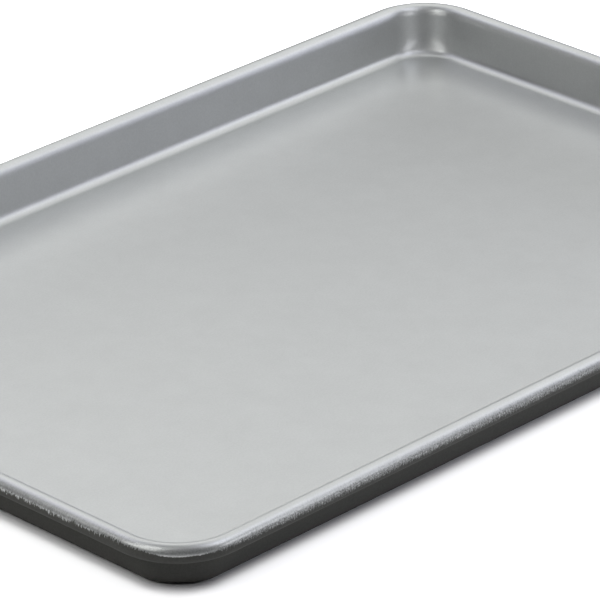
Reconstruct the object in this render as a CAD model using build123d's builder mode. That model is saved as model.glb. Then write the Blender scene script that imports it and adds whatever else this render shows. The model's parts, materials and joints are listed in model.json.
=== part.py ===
from build123d import *
import math
import os

# Jelly roll pan: one drawn steel sheet with a rolled rim, and the wire that the rim is rolled round.
# The origin is the middle of the underside, +X runs along the long sides and +Z is up. Lengths are mm.

# Overall size, over the outside of the rolled rim
overall_length = 387.35
overall_width = 260.35
overall_height = 19.05

# Drawn sheet
sheet_thickness = 0.7
floor_corner_radius = 12.0  # of the flat floor, seen from above
floor_fillet_radius = 4.0  # inside, where the floor turns up into the wall
wall_draft_deg = 12.0  # the wall leans outwards by this much from upright

# Wire in the rolled rim
wire_diameter = 4.8
wire_clearance = 0.15  # all round, between the wire and the roll
wire_butt_gap = 1.5  # between the wire's two ends, which meet but aren't welded

# Rolled rim
hem_gap = 0.3  # between the roll's cut edge and the outside of the wall

# The roll is as large as the wire, its clearance and the sheet make it.
roll_inner_radius = wire_diameter / 2 + wire_clearance
roll_radius = roll_inner_radius + sheet_thickness
roll_height = overall_height - roll_radius

# The wall runs from the fillet up to the roll and touches both, so its lean sets how far they stand apart.
fillet_outer_radius = floor_fillet_radius + sheet_thickness
wall_draft = math.radians(wall_draft_deg)
wall_foot_inset = (
    roll_radius + floor_fillet_radius + (roll_height - fillet_outer_radius) * math.sin(wall_draft)
) / math.cos(wall_draft)

# The floor's corner, fillet, wall and roll of a corner all turn about one upright axis.
roll_corner_radius = floor_corner_radius + wall_foot_inset
corner_x = overall_length / 2 - roll_radius - roll_corner_radius
corner_y = overall_width / 2 - roll_radius - roll_corner_radius
corner_origin = (corner_x, corner_y, 0)
corner_axis = Axis(corner_origin, (0, 0, 1))

# Angles in the section are taken from outwards towards up.
wall_normal_deg = 180 - wall_draft_deg  # from the roll's centre to where the wall leaves the roll
fillet_end_deg = -wall_draft_deg  # from the fillet's centre to where the wall starts
fillet_turn_deg = 90 - wall_draft_deg
# The roll's cut edge stops short of the wall by the hem gap.
hem_turn_deg = math.degrees(math.acos((roll_inner_radius - hem_gap) / roll_radius))
hem_end_deg = hem_turn_deg - 180 - wall_draft_deg
roll_turn_deg = wall_normal_deg - hem_end_deg

# Sheet cut across a short side: floor, fillet, wall and roll, from the corner's axis outwards
short_side_plane = Plane(origin=corner_origin, x_dir=(1, 0, 0), z_dir=(0, -1, 0))
fillet_centre = Vector(floor_corner_radius, fillet_outer_radius)
roll_centre = Vector(roll_corner_radius, roll_height)

with BuildSketch(short_side_plane) as sheet_section:
    with BuildLine():
        # Inside of the pan, up over the rim and round to the cut edge
        floor_top = Line((0, sheet_thickness), (floor_corner_radius, sheet_thickness))
        fillet_inside = CenterArc(fillet_centre, floor_fillet_radius, -90, fillet_turn_deg)
        roll_outside = CenterArc(roll_centre, roll_radius, wall_normal_deg, -roll_turn_deg)
        Line(fillet_inside @ 1, roll_outside @ 0)
        # Back round inside the roll and down the outside of the wall
        roll_inside = CenterArc(roll_centre, roll_inner_radius, hem_end_deg, roll_turn_deg)
        Line(roll_outside @ 1, roll_inside @ 0)
        fillet_outside = CenterArc(
            fillet_centre, fillet_outer_radius, fillet_end_deg, -fillet_turn_deg
        )
        Line(roll_inside @ 1, fillet_outside @ 0)
        underside = Line(fillet_outside @ 1, (0, 0))
        Line(underside @ 1, floor_top @ 0)
    make_face()

# Pan body: a quarter is a turned corner, half of two sides and a quarter of the floor, mirrored twice.
with BuildPart() as pan_body:
    revolve(sheet_section.sketch, axis=corner_axis, revolution_arc=90)
    extrude(sheet_section.sketch, amount=corner_y)
    extrude(sheet_section.sketch.rotate(corner_axis, 90), amount=-corner_x)
    with BuildSketch(Plane.XY):
        Rectangle(corner_x, corner_y, align=(Align.MIN, Align.MIN))
    extrude(amount=sheet_thickness)
    mirror(about=Plane.YZ)
    mirror(about=Plane.XZ)

pan_body.part.label = "pan_body"

# Rim wire: one round rod bent to the rim's outline, its ends butted in the middle of the back long side
wire_x = overall_length / 2 - roll_radius
wire_y = overall_width / 2 - roll_radius

with BuildPart() as rim_wire:
    with BuildLine(Plane.XY.offset(roll_height)) as wire_route:
        FilletPolyline(
            (-wire_butt_gap / 2, wire_y),
            (-wire_x, wire_y),
            (-wire_x, -wire_y),
            (wire_x, -wire_y),
            (wire_x, wire_y),
            (wire_butt_gap / 2, wire_y),
            radius=roll_corner_radius,
        )
    with BuildSketch(wire_route.line ^ 0):
        Circle(wire_diameter / 2)
    sweep()

rim_wire.part.label = "rim_wire"

os.makedirs("parts", exist_ok=True)
export_step(pan_body.part, "parts/pan_body.step")
export_step(rim_wire.part, "parts/rim_wire.step")
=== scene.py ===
import json
import math
import bmesh
import bpy
from mathutils import Matrix, Vector


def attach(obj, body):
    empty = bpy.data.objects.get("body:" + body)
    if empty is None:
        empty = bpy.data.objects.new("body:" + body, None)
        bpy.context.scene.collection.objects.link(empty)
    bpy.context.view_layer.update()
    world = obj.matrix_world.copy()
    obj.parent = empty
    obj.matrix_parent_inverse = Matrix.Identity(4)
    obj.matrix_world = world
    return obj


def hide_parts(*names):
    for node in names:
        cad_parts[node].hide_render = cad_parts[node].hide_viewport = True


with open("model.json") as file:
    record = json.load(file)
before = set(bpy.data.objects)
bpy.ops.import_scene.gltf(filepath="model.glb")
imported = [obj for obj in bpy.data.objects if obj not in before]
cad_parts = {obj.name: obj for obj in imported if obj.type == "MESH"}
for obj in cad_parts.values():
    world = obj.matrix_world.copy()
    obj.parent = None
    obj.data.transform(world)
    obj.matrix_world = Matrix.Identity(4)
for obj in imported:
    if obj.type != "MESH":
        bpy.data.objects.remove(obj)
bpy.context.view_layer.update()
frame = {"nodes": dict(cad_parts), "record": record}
scene = bpy.context.scene
mm = 0.001
print("frame loaded")


def hexColour(code):
    # sRGB hex to the linear values that Blender works in
    channels = [int(code[i:i + 2], 16) / 255 for i in (1, 3, 5)]
    return [c / 12.92 if c <= 0.04045 else ((c + 0.055) / 1.055) ** 2.4 for c in channels] + [1.0]


def addNode(tree, kind, settings=None, links=None):
    # settings holds node properties and socket values, links holds what feeds each socket
    node = tree.nodes.new(kind)
    for name, value in (settings or {}).items():
        if isinstance(name, str) and hasattr(node, name):
            setattr(node, name, value)
        else:
            node.inputs[name].default_value = value
    for name, source in (links or {}).items():
        tree.links.new(source, node.inputs[name])
    return node


def addPiece(name, bm, material):
    mesh = bpy.data.meshes.new(name)
    bm.to_mesh(mesh)
    bm.free()
    mesh.materials.append(material)
    mesh.polygons.foreach_set("use_smooth", [True] * len(mesh.polygons))
    piece = bpy.data.objects.new(name, mesh)
    scene.collection.objects.link(piece)
    return piece


# Sizes of the pan. The overall size comes from the frame, the rest is the drawn sheet's and the wire's own.
# Girth is the way round the sheet from the roll's outermost line, over the rim and down into the pan.
panSizes = {
    "sheet": 0.7 * mm,
    "floorCorner": 12.0 * mm,  # radius of the flat floor's corner, from above
    "floorFillet": 4.0 * mm,  # inside radius, floor to wall
    "wallLean": math.radians(12.0),  # outwards, from upright
    "wireDiameter": 4.8 * mm,
    "wireClearance": 0.15 * mm,
    "hemGap": 0.3 * mm,  # between the roll's cut edge and the wall
    "cornerFoot": 24.0 * mm,  # girth at the middle of a corner's rounder foot inside
    "cornerReach": 6.5 * mm,  # how far its rounding reaches up and down from there
    "cornerTurn": 44,  # degrees that it reaches to either side, round the corner
    "cornerDrawIn": 0.7,  # the share of both reaches by which the smoothing passes draw in
    "cornerPasses": 100,
    "shoulderRadius": 6.25 * mm,  # of the wider bend in which the wall goes over into the roll
    "shoulderTurn": 23,  # degrees
}
panLength, panWidth, panHeight = frame["record"]["size"]["bbox_m"]
rollBore = panSizes["wireDiameter"] / 2 + panSizes["wireClearance"]
rollRadius = rollBore + panSizes["sheet"]
rollHeight = panHeight - rollRadius
filletOuter = panSizes["floorFillet"] + panSizes["sheet"]
wallFootInset = (
    rollRadius + panSizes["floorFillet"] + (rollHeight - filletOuter) * math.sin(panSizes["wallLean"])
) / math.cos(panSizes["wallLean"])
rollCorner = panSizes["floorCorner"] + wallFootInset  # radius of the roll's centre line at a corner
cornerX = panLength / 2 - rollRadius - rollCorner
cornerY = panWidth / 2 - rollRadius - rollCorner
cornerRun = rollCorner * math.pi / 2  # length of the roll's centre line round a corner
rimRun = 4 * (cornerX + cornerY + cornerRun)  # and all the way round

# Steps of the mesh: across the section first, then along the rim
panSteps = {
    "floorEdge": 8, "fillet": 14, "wall": 16, "shoulder": 7, "roll": 60, "hem": 6, "bore": 40,
    "side": 18, "corner": 30, "back": 28,
}
sameLine = 0.01 * mm  # points nearer to a line than this lie on it
samePoint = 0.001 * mm  # points nearer to each other than this are merged

# Where the silver coating ends on the roll. It was sprayed into the pan from above, so on some stretches it
# stops raggedly and on others it thins out. Each row gives a place along the rim, in mm from the middle of
# the front left corner, to the left side first and then on round; the degrees above the roll's outermost
# line at which the silver ends there; and how soft and how ragged its end is, in mm.
coatingEnd = [
    (0, 7, 0.25, 0.15), (5, 9, 0.25, 0.15), (7, 16, 0.3, 0.2), (12, 27, 0.35, 0.5), (22, 26, 0.7, 0.75),
    (32, 19, 0.8, 0.85), (41, 14, 0.8, 0.85), (56, 15, 0.8, 0.8), (72, 9, 0.8, 0.8), (150, 16, 0.8, 0.8),
    (225, 20, 0.4, 0.5), (244, 8, 0.25, 0.15), (262, 18, 0.8, 0.3), (300, 16, 2.2, 0.3), (450, 12, 3.2, 0.3),
    (580, 16, 2.2, 0.3), (599, 20, 0.8, 0.4), (616, 8, 0.25, 0.15), (634, 22, 0.4, 0.6), (700, 15, 0.5, 0.8),
    (800, 18, 0.5, 0.8), (843, 22, 0.4, 0.5), (860, 8, 0.25, 0.15), (878, 16, 1.2, 0.3), (930, 12, 2.6, 0.3),
    (1088, 11, 3.0, 0.3), (1172, 11, 2.8, 0.3), (1205, 15, 2.2, 0.3), (1219, 18, 1.4, 0.25),
    (1224, 12, 0.5, 0.2), (1227, 10, 0.25, 0.15), (rimRun / mm, 7, 0.25, 0.15),
]


def along(x, y):
    # how far along the rim x, y lies, from the middle of the front side round by the left
    beyondX, beyondY = abs(x) - cornerX, abs(y) - cornerY
    if beyondX > 0 and beyondY > 0:
        run = cornerX + rollCorner * math.atan2(beyondX, beyondY)
    elif beyondY > beyondX:
        run = abs(x)
    else:
        run = cornerX + cornerRun + cornerY - abs(y)
    if y > 0:
        run = rimRun / 2 - run
    return run if x <= 0 else rimRun - run


def coatingEndAt(run):
    # the degrees, the softness and the raggedness there, eased from one row's place to the next
    place = (run - cornerX - cornerRun / 2) % rimRun / mm
    for (start, *here), (end, *there) in zip(coatingEnd, coatingEnd[1:]):
        if place <= end:
            share = (place - start) / (end - start)
            share *= share * (3 - 2 * share)  # sets off and arrives gently
            return [a + (b - a) * share for a, b in zip(here, there)]
    return coatingEnd[-1][1:]


def carry(bm, geom, steps, **how):
    # carries geometry on in steps, straight on by=... or round with centre, axis and degrees
    swept = bmesh.ops.spin(
        bm, geom=geom, steps=steps, dvec=Vector(how.get("by", (0, 0, 0))) / steps,
        cent=how.get("centre", (0, 0, 0)), axis=how.get("axis", (0, 0, 1)),
        angle=math.radians(how.get("degrees", 0)),
    )
    return swept["geom_last"]


def drawSection(bm):
    # The sheet cut where the right side meets the back right corner, from the corner's upright axis out
    # along the floor, up and over the rim, round inside the roll and back under the pan
    sheet, lean, steps = panSizes["sheet"], math.degrees(panSizes["wallLean"]), panSteps
    tip = bmesh.ops.create_vert(bm, co=(cornerX, cornerY, sheet))["vert"]

    def onArc(centre, radius, degrees):
        turn = math.radians(degrees)
        return centre + Vector((math.cos(turn), 0, math.sin(turn))) * radius

    def runTo(target, count):
        tip[:] = carry(bm, tip, count, by=target - tip[0].co)

    def turnRound(centre, degrees, count):
        # from outwards towards up where degrees are positive
        last = carry(bm, tip, count, centre=centre, axis=(0, -1, 0), degrees=degrees)
        tip[:] = [item for item in last if isinstance(item, bmesh.types.BMVert)]

    fillet = Vector((cornerX + panSizes["floorCorner"], cornerY, filletOuter))
    roll = Vector((cornerX + rollCorner, cornerY, rollHeight))
    hemTurn = math.degrees(math.acos((rollBore - panSizes["hemGap"]) / rollRadius))
    hemRound = math.degrees(sheet / 2 / (rollBore + sheet / 2))  # leaves room for the rounded cut edge
    rollTurn = 360 - hemTurn - hemRound
    runTo(Vector((fillet.x, cornerY, sheet)), steps["floorEdge"])
    turnRound(fillet, 90 - lean, steps["fillet"])
    shoulderTurn = panSizes["shoulderTurn"]
    shoulder = onArc(roll, rollRadius - panSizes["shoulderRadius"], 180 - lean - shoulderTurn)
    runTo(onArc(shoulder, panSizes["shoulderRadius"], 180 - lean), steps["wall"])
    turnRound(shoulder, -shoulderTurn, steps["shoulder"])
    turnRound(roll, shoulderTurn - rollTurn, steps["roll"])
    turnRound(onArc(roll, rollBore + sheet / 2, 180 - lean - rollTurn), -180, steps["hem"])
    turnRound(roll, rollTurn, steps["bore"])
    runTo(onArc(fillet, filletOuter, -lean), steps["wall"])
    turnRound(fillet, lean - 90, steps["fillet"])
    runTo(Vector((cornerX, cornerY, 0)), steps["floorEdge"])


def markGirth(bm):
    # Notes each point's girth in millimetres. Below the roll's outermost line it is negative, round to the
    # underside of the pan.
    girth = bm.verts.layers.float.new("girth")
    bm.verts.ensure_lookup_table()
    chain = list(bm.verts)
    runs = [0.0]
    for before, after in zip(chain, chain[1:]):
        runs.append(runs[-1] + (after.co - before.co).length)
    outermost = max(range(len(chain)), key=lambda i: chain[i].co.x)
    for vert, run in zip(chain, runs):
        vert[girth] = (runs[outermost] - run) / mm


def fillFloor(bm, height):
    # carries the floor's edge row at this height from the back side to the middle of the pan
    row = [
        edge for edge in bm.edges
        if all(
            abs(vert.co.y - cornerY) < sameLine and abs(vert.co.z - height) < sameLine
            and vert.co.x < cornerX + sameLine for vert in edge.verts
        )
    ]
    carry(bm, row, panSteps["side"], by=(0, -cornerY, 0))


def roundCornerFoot(bm, middle):
    # The press leaves the sheet rounder at a corner's foot. The passes draw in from the foot's edge towards
    # its middle, so that the rounding fades out into the sides, the wall and the floor.
    girth = bm.verts.layers.float["girth"]
    reach = panSizes["cornerReach"]
    foot = []
    for vert in bm.verts:
        beyondX, beyondY = vert.co.x - cornerX, vert.co.y - cornerY
        upwards = (vert[girth] * mm - middle) / reach
        if abs(upwards) < 1 and min(beyondX, beyondY) > sameLine:
            sideways = (math.degrees(math.atan2(beyondX, beyondY)) - 45) / panSizes["cornerTurn"]
            foot.append((math.hypot(sideways, upwards), vert))
    passes = panSizes["cornerPasses"]
    for number in range(passes):
        limit = 1 - panSizes["cornerDrawIn"] * number / passes
        near = [vert for away, vert in foot if away < limit]
        bmesh.ops.smooth_vert(
            bm, verts=near, factor=0.5, use_axis_x=True, use_axis_y=True, use_axis_z=True,
        )


def roundCornerFeet(bm):
    # the inside's and the underside's, each as far as the other from its end of the section
    girth = bm.verts.layers.float["girth"]
    girths = [vert[girth] * mm for vert in bm.verts]
    inside = panSizes["cornerFoot"]
    roundCornerFoot(bm, inside)
    roundCornerFoot(bm, min(girths) + max(girths) - inside)


def markRim(bm):
    # rimPlace lays the rim's length round a circle, with the girth as its third number, so that a pattern
    # on it follows the rim all round with no seam. coatingEdge holds the girth at which the silver ends,
    # and how soft and how ragged its end is. Both are in millimetres, as the patterns of the coatings are.
    girth = bm.verts.layers.float["girth"]
    place = bm.verts.layers.float_vector.new("rimPlace")
    edge = bm.verts.layers.float_vector.new("coatingEdge")
    circle = rimRun / (2 * math.pi)
    for vert in bm.verts:
        run = along(vert.co.x, vert.co.y)
        turn = run / circle
        vert[place] = Vector((math.cos(turn) * circle / mm, math.sin(turn) * circle / mm, vert[girth]))
        degrees, soft, ragged = coatingEndAt(run)
        vert[edge] = Vector((math.radians(degrees) * rollRadius / mm, soft, ragged))


def buildPan(material):
    # a quarter of the pan is swept from its section, and mirrored twice
    bm = bmesh.new()
    drawSection(bm)
    markGirth(bm)
    section = bm.edges[:]
    carry(bm, section, panSteps["side"], by=(0, -cornerY, 0))
    turned = carry(bm, section, panSteps["corner"], centre=(cornerX, cornerY, 0), degrees=90)
    carry(bm, turned, panSteps["back"], by=(-cornerX, 0, 0))
    roundCornerFeet(bm)
    fillFloor(bm, panSizes["sheet"])
    fillFloor(bm, 0)
    for axis in ("X", "Y"):
        everything = bm.verts[:] + bm.edges[:] + bm.faces[:]
        bmesh.ops.mirror(bm, geom=everything, matrix=Matrix(), merge_dist=samePoint, axis=axis)
    bmesh.ops.remove_doubles(bm, verts=bm.verts, dist=samePoint)
    bmesh.ops.dissolve_degenerate(bm, edges=bm.edges, dist=samePoint / 10)
    bmesh.ops.recalc_face_normals(bm, faces=bm.faces)
    markRim(bm)
    openEdges = sum(not edge.is_manifold for edge in bm.edges)
    volume = round(bm.calc_volume() / mm ** 3)
    print("pan:", len(bm.faces), "faces,", openEdges, "open edges,", volume, "mm3")
    return addPiece("pan", bm, material)


# Coatings of the sheet. Inside it is a silver nonstick coating: aluminium flakes in a baked resin, satin, so
# that lamps show as soft streaks on the rim while the flat floor stays an even grey. Outside and underneath
# it is a charcoal one, nearly matt, which takes no streaks and stays dark in the pan's own shade.
coatings = {
    "silver": ("#b3b5b3", "#c6c8c6"),  # from its darker specks to its lighter ones
    "silverMetallic": 0.66,  # the flakes' share, the rest is resin
    "silverRoughness": (0.33, 0.39),
    "charcoal": ("#4a4a47", "#5c5c58"),
    "charcoalRoughness": (0.5, 0.58),
    "shine": 0.015,  # specular level, next to none, as the resin over both is a dull one
    "flake": 0.7 * mm,  # the real flakes are under 0.1 mm, drawn coarser so that they show
    "flakeHeight": 0.004 * mm,
    "cloud": 15 * mm,  # faint uneven patches that the spray leaves
    "cloudShade": 0.028,  # how much lighter and darker they are
}

# The silver's edge on the roll. Its sizes are in mm, as rimPlace and the girth are.
silverEdge = {
    "tooth": (0.5, 0.5, 1.6),  # along the rim twice, and round the roll: the runs of spray at the edge
    "droplet": 0.5,  # the specks into which the silver breaks up
    "dropletShare": 1.8,  # how much the specks count beside the depth into the silver
    "light": 0.7,  # painted shade: how bright the silver is at its edge, as a share of the full silver, standing in for the dark reflection along the roll there
    "edgeShadeReach": 2.2,  # how far that painted shade reaches from the edge into the silver
    "patchiness": 3,  # of that painted shade, as it fades into the full silver
}
noiseRange = (0.3, 0.7)  # nearly all of a noise pattern's values lie in here, round a middle of a half


def nonstickSheet():
    noiseLow, noiseHigh = noiseRange
    material = bpy.data.materials.new("nonstickCoatedSheet")
    material.use_nodes = True
    tree = material.node_tree
    shader = tree.nodes["Principled BSDF"]
    shader.inputs["Specular IOR Level"].default_value = coatings["shine"]
    place = addNode(tree, "ShaderNodeTexCoord").outputs["Object"]
    rimPlace = addNode(tree, "ShaderNodeAttribute", {"attribute_name": "rimPlace"}).outputs["Vector"]
    girth = addNode(tree, "ShaderNodeAttribute", {"attribute_name": "girth"}).outputs["Fac"]
    edge = addNode(tree, "ShaderNodeAttribute", {"attribute_name": "coatingEdge"}).outputs["Vector"]
    edgeEnd, edgeSoft, edgeRagged = addNode(tree, "ShaderNodeSeparateXYZ", links={"Vector": edge}).outputs

    # teeth: how far above the silver's ragged edge each point lies, in mm
    toothPlace = addNode(
        tree, "ShaderNodeVectorMath", {"operation": "DIVIDE", 1: silverEdge["tooth"]}, {0: rimPlace}
    ).outputs[0]
    tooth = addNode(
        tree, "ShaderNodeTexNoise", {"Scale": 1, "Detail": 2, "Roughness": 0.55}, {"Vector": toothPlace}
    ).outputs["Fac"]
    swing = addNode(
        tree, "ShaderNodeMapRange",
        {"From Min": noiseLow, "From Max": noiseHigh, "To Min": -1, "To Max": 1}, {"Value": tooth},
    ).outputs["Result"]
    aboveEnd = addNode(tree, "ShaderNodeMath", {"operation": "SUBTRACT"}, {0: girth, 1: edgeEnd}).outputs[0]
    aboveTooth = addNode(
        tree, "ShaderNodeMath", {"operation": "MULTIPLY_ADD"}, {0: swing, 1: edgeRagged, 2: aboveEnd}
    ).outputs[0]

    # droplets: where the silver thins out softly it breaks up into specks
    droplet = addNode(
        tree, "ShaderNodeTexNoise", {"Scale": 1 / silverEdge["droplet"], "Detail": 2, "Roughness": 0.7},
        {"Vector": rimPlace},
    ).outputs["Fac"]
    depth = addNode(tree, "ShaderNodeMath", {"operation": "DIVIDE"}, {0: aboveTooth, 1: edgeSoft}).outputs[0]
    speckled = addNode(
        tree, "ShaderNodeMath", {"operation": "MULTIPLY_ADD", 1: silverEdge["dropletShare"]},
        {0: droplet, 2: depth},
    ).outputs[0]
    middle = silverEdge["dropletShare"] / 2
    silverShare = addNode(
        tree, "ShaderNodeMapRange",
        {"interpolation_type": "SMOOTHSTEP", "From Min": middle - 0.5, "From Max": middle + 0.5},
        {"Value": speckled},
    ).outputs["Result"]

    # flakes in both coatings, clouds in the silver, and painted shade on the silver near its edge, which
    # stands in for the dark reflection that the roll shows there
    flake = addNode(
        tree, "ShaderNodeTexNoise", {"Scale": 1 / coatings["flake"], "Detail": 3, "Roughness": 0.65},
        {"Vector": place},
    ).outputs["Fac"]
    cloud = addNode(
        tree, "ShaderNodeTexNoise", {"Scale": 1 / coatings["cloud"], "Detail": 6, "Roughness": 0.75},
        {"Vector": place},
    ).outputs["Fac"]
    cloudShade = coatings["cloudShade"]
    cloudLight = addNode(
        tree, "ShaderNodeMapRange",
        {"From Min": noiseLow, "From Max": noiseHigh, "To Min": 1 - cloudShade, "To Max": 1 + cloudShade},
        {"Value": cloud},
    ).outputs["Result"]
    patches = silverEdge["patchiness"] * silverEdge["edgeShadeReach"]
    patchyEdgeShade = addNode(
        tree, "ShaderNodeMath", {"operation": "MULTIPLY_ADD", 1: patches}, {0: droplet, 2: aboveTooth}
    ).outputs[0]
    # painted shade: the silver drawn darker, in patches, near its edge, for the dark reflection along the
    # roll
    paintedEdgeShade = addNode(
        tree, "ShaderNodeMapRange",
        {
            "From Min": patches / 2, "From Max": patches / 2 + silverEdge["edgeShadeReach"],
            "To Min": silverEdge["light"], "To Max": 1,
        },
        {"Value": patchyEdgeShade},
    ).outputs["Result"]
    # the clouds' random tone times that painted shade
    light = addNode(tree, "ShaderNodeMath", {"operation": "MULTIPLY"}, {0: cloudLight, 1: paintedEdgeShade}).outputs[0]

    # both coatings, and the silver where it covers the charcoal. A Mix node takes and gives colours at other
    # sockets than numbers: 6 and 7 in and 2 out, in place of 2 and 3 in and 0 out.
    colours = []
    for low, high in (coatings["silver"], coatings["charcoal"]):
        mix = addNode(
            tree, "ShaderNodeMix", {"data_type": "RGBA", 6: hexColour(low), 7: hexColour(high)}, {0: flake}
        )
        colours.append(mix.outputs[2])
    silver = addNode(
        tree, "ShaderNodeVectorMath", {"operation": "SCALE"}, {0: colours[0], "Scale": light}
    ).outputs[0]
    colour = addNode(
        tree, "ShaderNodeMix", {"data_type": "RGBA"}, {0: silverShare, 6: colours[1], 7: silver}
    ).outputs[2]
    metallic = addNode(
        tree, "ShaderNodeMapRange", {"To Max": coatings["silverMetallic"]}, {"Value": silverShare}
    ).outputs["Result"]
    roughs = []
    for low, high in (coatings["silverRoughness"], coatings["charcoalRoughness"]):
        rough = addNode(tree, "ShaderNodeMapRange", {"To Min": low, "To Max": high}, {"Value": flake})
        roughs.append(rough.outputs["Result"])
    roughness = addNode(tree, "ShaderNodeMix", links={0: silverShare, 2: roughs[1], 3: roughs[0]}).outputs[0]
    bump = addNode(
        tree, "ShaderNodeBump", {"Distance": coatings["flakeHeight"]}, {"Height": flake}
    ).outputs["Normal"]
    tree.links.new(colour, shader.inputs["Base Color"])
    tree.links.new(metallic, shader.inputs["Metallic"])
    tree.links.new(roughness, shader.inputs["Roughness"])
    tree.links.new(bump, shader.inputs["Normal"])
    return material


pan = buildPan(nonstickSheet())
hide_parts("pan_body")
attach(pan, "root")


# The stiffening wire lies hidden in the rolled rim. It is drawn steel with a thin zinc coat, which gives it
# a cool bright grey with a faint mottle, in which the lighter patches are the duller ones.
wireLook = {
    "zinc": ("#8f9396", "#b4b7b8"),
    "roughness": (0.28, 0.42),
    "mottle": 1.2 * mm,
}


def zincWire():
    material = bpy.data.materials.new("zincCoatedWire")
    material.use_nodes = True
    tree = material.node_tree
    shader = tree.nodes["Principled BSDF"]
    shader.inputs["Metallic"].default_value = 1
    place = addNode(tree, "ShaderNodeTexCoord").outputs["Object"]
    mottle = addNode(
        tree, "ShaderNodeTexNoise", {"Scale": 1 / wireLook["mottle"], "Detail": 4, "Roughness": 0.6},
        {"Vector": place},
    ).outputs["Fac"]
    low, high = [hexColour(code) for code in wireLook["zinc"]]
    colour = addNode(tree, "ShaderNodeMix", {"data_type": "RGBA", 6: low, 7: high}, {0: mottle}).outputs[2]
    smooth, rough = wireLook["roughness"]
    roughness = addNode(tree, "ShaderNodeMapRange", {"To Min": smooth, "To Max": rough}, {"Value": mottle})
    tree.links.new(colour, shader.inputs["Base Color"])
    tree.links.new(roughness.outputs["Result"], shader.inputs["Roughness"])
    return material


wire = frame["nodes"]["rim_wire"]
wire.data.materials.clear()
wire.data.materials.append(zincWire())
print("wire coated")


# Camera, fitted to the pan's edges in the photograph. Its turns are in degrees.
cameraView = {
    "at": (-1146.5 * mm, -1117.3 * mm, 767.1 * mm),
    "towards": 45.557,  # from +Y towards +X
    "down": 25.671,
    "roll": 0.411,
    "lens": 308.79,
    "sensor": 36,  # in mm, as the lens is, because Blender takes both so
    "seesFrom": 0.1,  # m
    "seesTo": 50,  # m
}


def placeCamera():
    camera = bpy.data.cameras.new("photoCamera")
    camera.lens, camera.sensor_width = cameraView["lens"], cameraView["sensor"]
    camera.clip_start, camera.clip_end = cameraView["seesFrom"], cameraView["seesTo"]
    holder = bpy.data.objects.new("photoCamera", camera)
    scene.collection.objects.link(holder)
    turn = (
        Matrix.Rotation(-math.radians(cameraView["towards"]), 4, "Z")
        @ Matrix.Rotation(math.radians(90 - cameraView["down"]), 4, "X")
        @ Matrix.Rotation(-math.radians(cameraView["roll"]), 4, "Z")
    )
    holder.matrix_world = Matrix.Translation(cameraView["at"]) @ turn
    scene.camera = holder
    print("camera placed")


placeCamera()


# A matt white laminate table, which gives the plain white ground. Beyond the pan it is pure white, also as
# metal reflects it, and well under the pan's rim only the lamps light it, so that it keeps the pan's shadow
# there.
# Towards the rim's outermost line the shadow's edge is painted: the added white fades in, so the shadow ends
# close to the pan.
table = {
    "size": 12.0,  # m
    "white": "#f4f4f4",
    "roughness": 0.9,
    "glow": 0.69,  # added white, beyond the pan; where it fades in under the rim it paints the outer edge of the pan's shadow
    "paintedShadowFadeStart": -11 * mm,  # out from the rim's outermost line, so this is under the rim; the painted shadow's fade starts here
    # painted shadow: from here outwards the added white is full
    "paintedShadowFadeEnd": -3.5 * mm,
}


def whiteTable():
    material = bpy.data.materials.new("whiteLaminate")
    material.use_nodes = True
    tree = material.node_tree
    shader = tree.nodes["Principled BSDF"]
    shader.inputs["Base Color"].default_value = hexColour(table["white"])
    shader.inputs["Roughness"].default_value = table["roughness"]
    place = addNode(tree, "ShaderNodeTexCoord").outputs["Object"]
    # distance from the outline that joins the corners' upright axes
    folded = addNode(tree, "ShaderNodeVectorMath", {"operation": "ABSOLUTE"}, {0: place}).outputs[0]
    beyond = addNode(
        tree, "ShaderNodeVectorMath", {"operation": "SUBTRACT", 1: (cornerX, cornerY, 0)}, {0: folded}
    ).outputs[0]
    outside = addNode(tree, "ShaderNodeVectorMath", {"operation": "MAXIMUM"}, {0: beyond}).outputs[0]
    distance = addNode(tree, "ShaderNodeVectorMath", {"operation": "LENGTH"}, {0: outside}).outputs["Value"]
    rim = rollCorner + rollRadius  # where the rim's outermost line lies on that scale
    # painted shadow: the added white fades in across this span under the rim, so that the pan's shadow ends
    # close to it
    glow = addNode(
        tree, "ShaderNodeMapRange",
        {
            "interpolation_type": "SMOOTHSTEP", "From Min": rim + table["paintedShadowFadeStart"],
            "From Max": rim + table["paintedShadowFadeEnd"], "To Max": table["glow"],
        },
        {"Value": distance},
    ).outputs["Result"]
    rays = addNode(tree, "ShaderNodeLightPath").outputs
    seen = rays["Is Camera Ray"]
    for other in ("Is Glossy Ray", "Is Transmission Ray"):
        seen = addNode(
            tree, "ShaderNodeMath", {"operation": "ADD", "use_clamp": True}, {0: seen, 1: rays[other]}
        ).outputs[0]
    strength = addNode(tree, "ShaderNodeMath", {"operation": "MULTIPLY"}, {0: glow, 1: seen}).outputs[0]
    shader.inputs["Emission Color"].default_value = (1, 1, 1, 1)
    tree.links.new(strength, shader.inputs["Emission Strength"])
    return material


def addTable():
    bm = bmesh.new()
    bmesh.ops.create_grid(bm, x_segments=1, y_segments=1, size=table["size"] / 2)
    addPiece("table", bm, whiteTable())
    print("table laid")


addTable()

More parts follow.
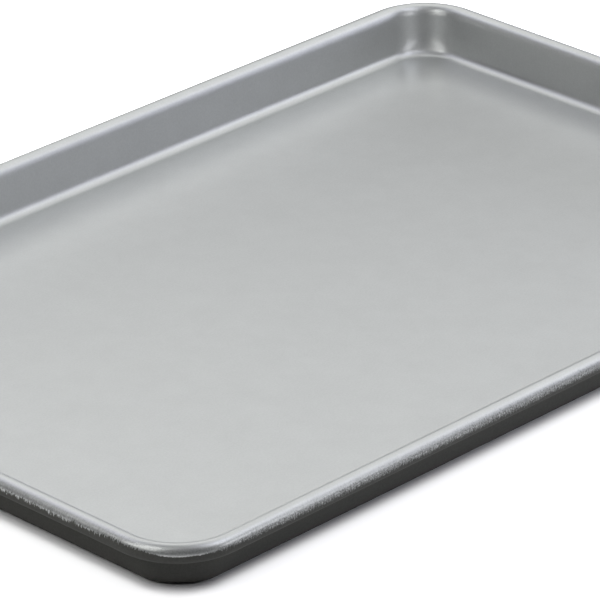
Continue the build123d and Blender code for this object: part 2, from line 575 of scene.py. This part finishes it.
# Studio lamps, each a soft box: where it stands in metres, its width and height, how bright its cloth is,
# where 1 is as bright as the white table, and its colour where it isn't white. It faces the middle of the
# pan unless another point is given. The boxes stand where their reflections lie in the photograph. Beyond
# the pan, as the camera sees it, a wide and a smaller one stand high and two long ones low. To the left and
# in front pairs stand one above the other close to the pan, for the streaks along the near rims. One hangs
# overhead, and one to the right and one high in front fill in. Where the camera is there is none, so that
# the outside of the pan stays dark.
lamps = {
    "highBehind": {"at": (0.52, 0.3, 0.67), "width": 2.2, "height": 0.8, "bright": 1.39},
    "overhead": {"at": (0, 0, 1), "width": 1.0, "height": 1.0, "bright": 0.26},
    "leftBehind": {
        "at": (-0.22, 0.6, 0.77), "width": 0.6, "height": 0.6, "bright": 1.15, "colour": "#eeeeff",
    },
    "lowBehind": {"at": (0, 1.29, 0.18), "width": 1.5, "height": 0.33, "bright": 5.5},
    "lowRight": {"at": (1.29, 0, 0.18), "width": 1.5, "height": 0.33, "bright": 7.2, "colour": "#ebedff"},
    "right": {
        "at": (0.675, -0.39, 0.45), "width": 0.5, "height": 0.4, "bright": 1.22, "colour": "#ebedff",
    },
    "left": {
        "at": (-0.4, -0.02, 0.22), "facing": (0, -0.02, 0.22), "width": 0.25, "height": 0.14, "bright": 3.1,
    },
    "leftUpper": {
        "at": (-0.4, -0.02, 0.5), "facing": (0, -0.02, 0.5), "width": 0.25, "height": 0.14, "bright": 7.6,
    },
    "front": {
        "at": (0.08, -0.455, 0.22), "facing": (0.08, 0, 0.22), "width": 0.25, "height": 0.14, "bright": 3.65,
        "colour": "#f9f9ff",
    },
    "frontUpper": {
        "at": (0.08, -0.455, 0.66), "facing": (0.08, 0, 0.66), "width": 0.25, "height": 0.16, "bright": 7.8,
        "colour": "#f9f9ff",
    },
    "frontHigh": {
        "at": (0.25, -0.3, 0.8), "width": 0.4, "height": 0.4, "bright": 2.1, "colour": "#ebedff",
    },
}


def addLamps():
    for name, lamp in lamps.items():
        light = bpy.data.lights.new(name, "AREA")
        light.shape = "RECTANGLE"
        light.size, light.size_y = lamp["width"], lamp["height"]
        light.energy = math.pi * lamp["width"] * lamp["height"] * lamp["bright"]
        light.color = hexColour(lamp.get("colour", "#ffffff"))[:3]
        holder = bpy.data.objects.new(name, light)
        backwards = Vector(lamp["at"]) - Vector(lamp.get("facing", (0, 0, 0)))
        turn = backwards.to_track_quat("Z", "Y").to_matrix().to_4x4()
        holder.matrix_world = Matrix.Translation(lamp["at"]) @ turn
        holder.visible_camera = False
        scene.collection.objects.link(holder)
    print("lamps:", len(lamps))


addLamps()

studio = {"fill": 0.02, "colour": "#ffffff"}  # the little light that the dim room itself gives
world = bpy.data.worlds.new("studio")
scene.world = world
world.use_nodes = True
room = world.node_tree.nodes["Background"]
room.inputs["Color"].default_value = hexColour(studio["colour"])
room.inputs["Strength"].default_value = studio["fill"]
scene.view_settings.view_transform = "Standard"
print("room dimmed")
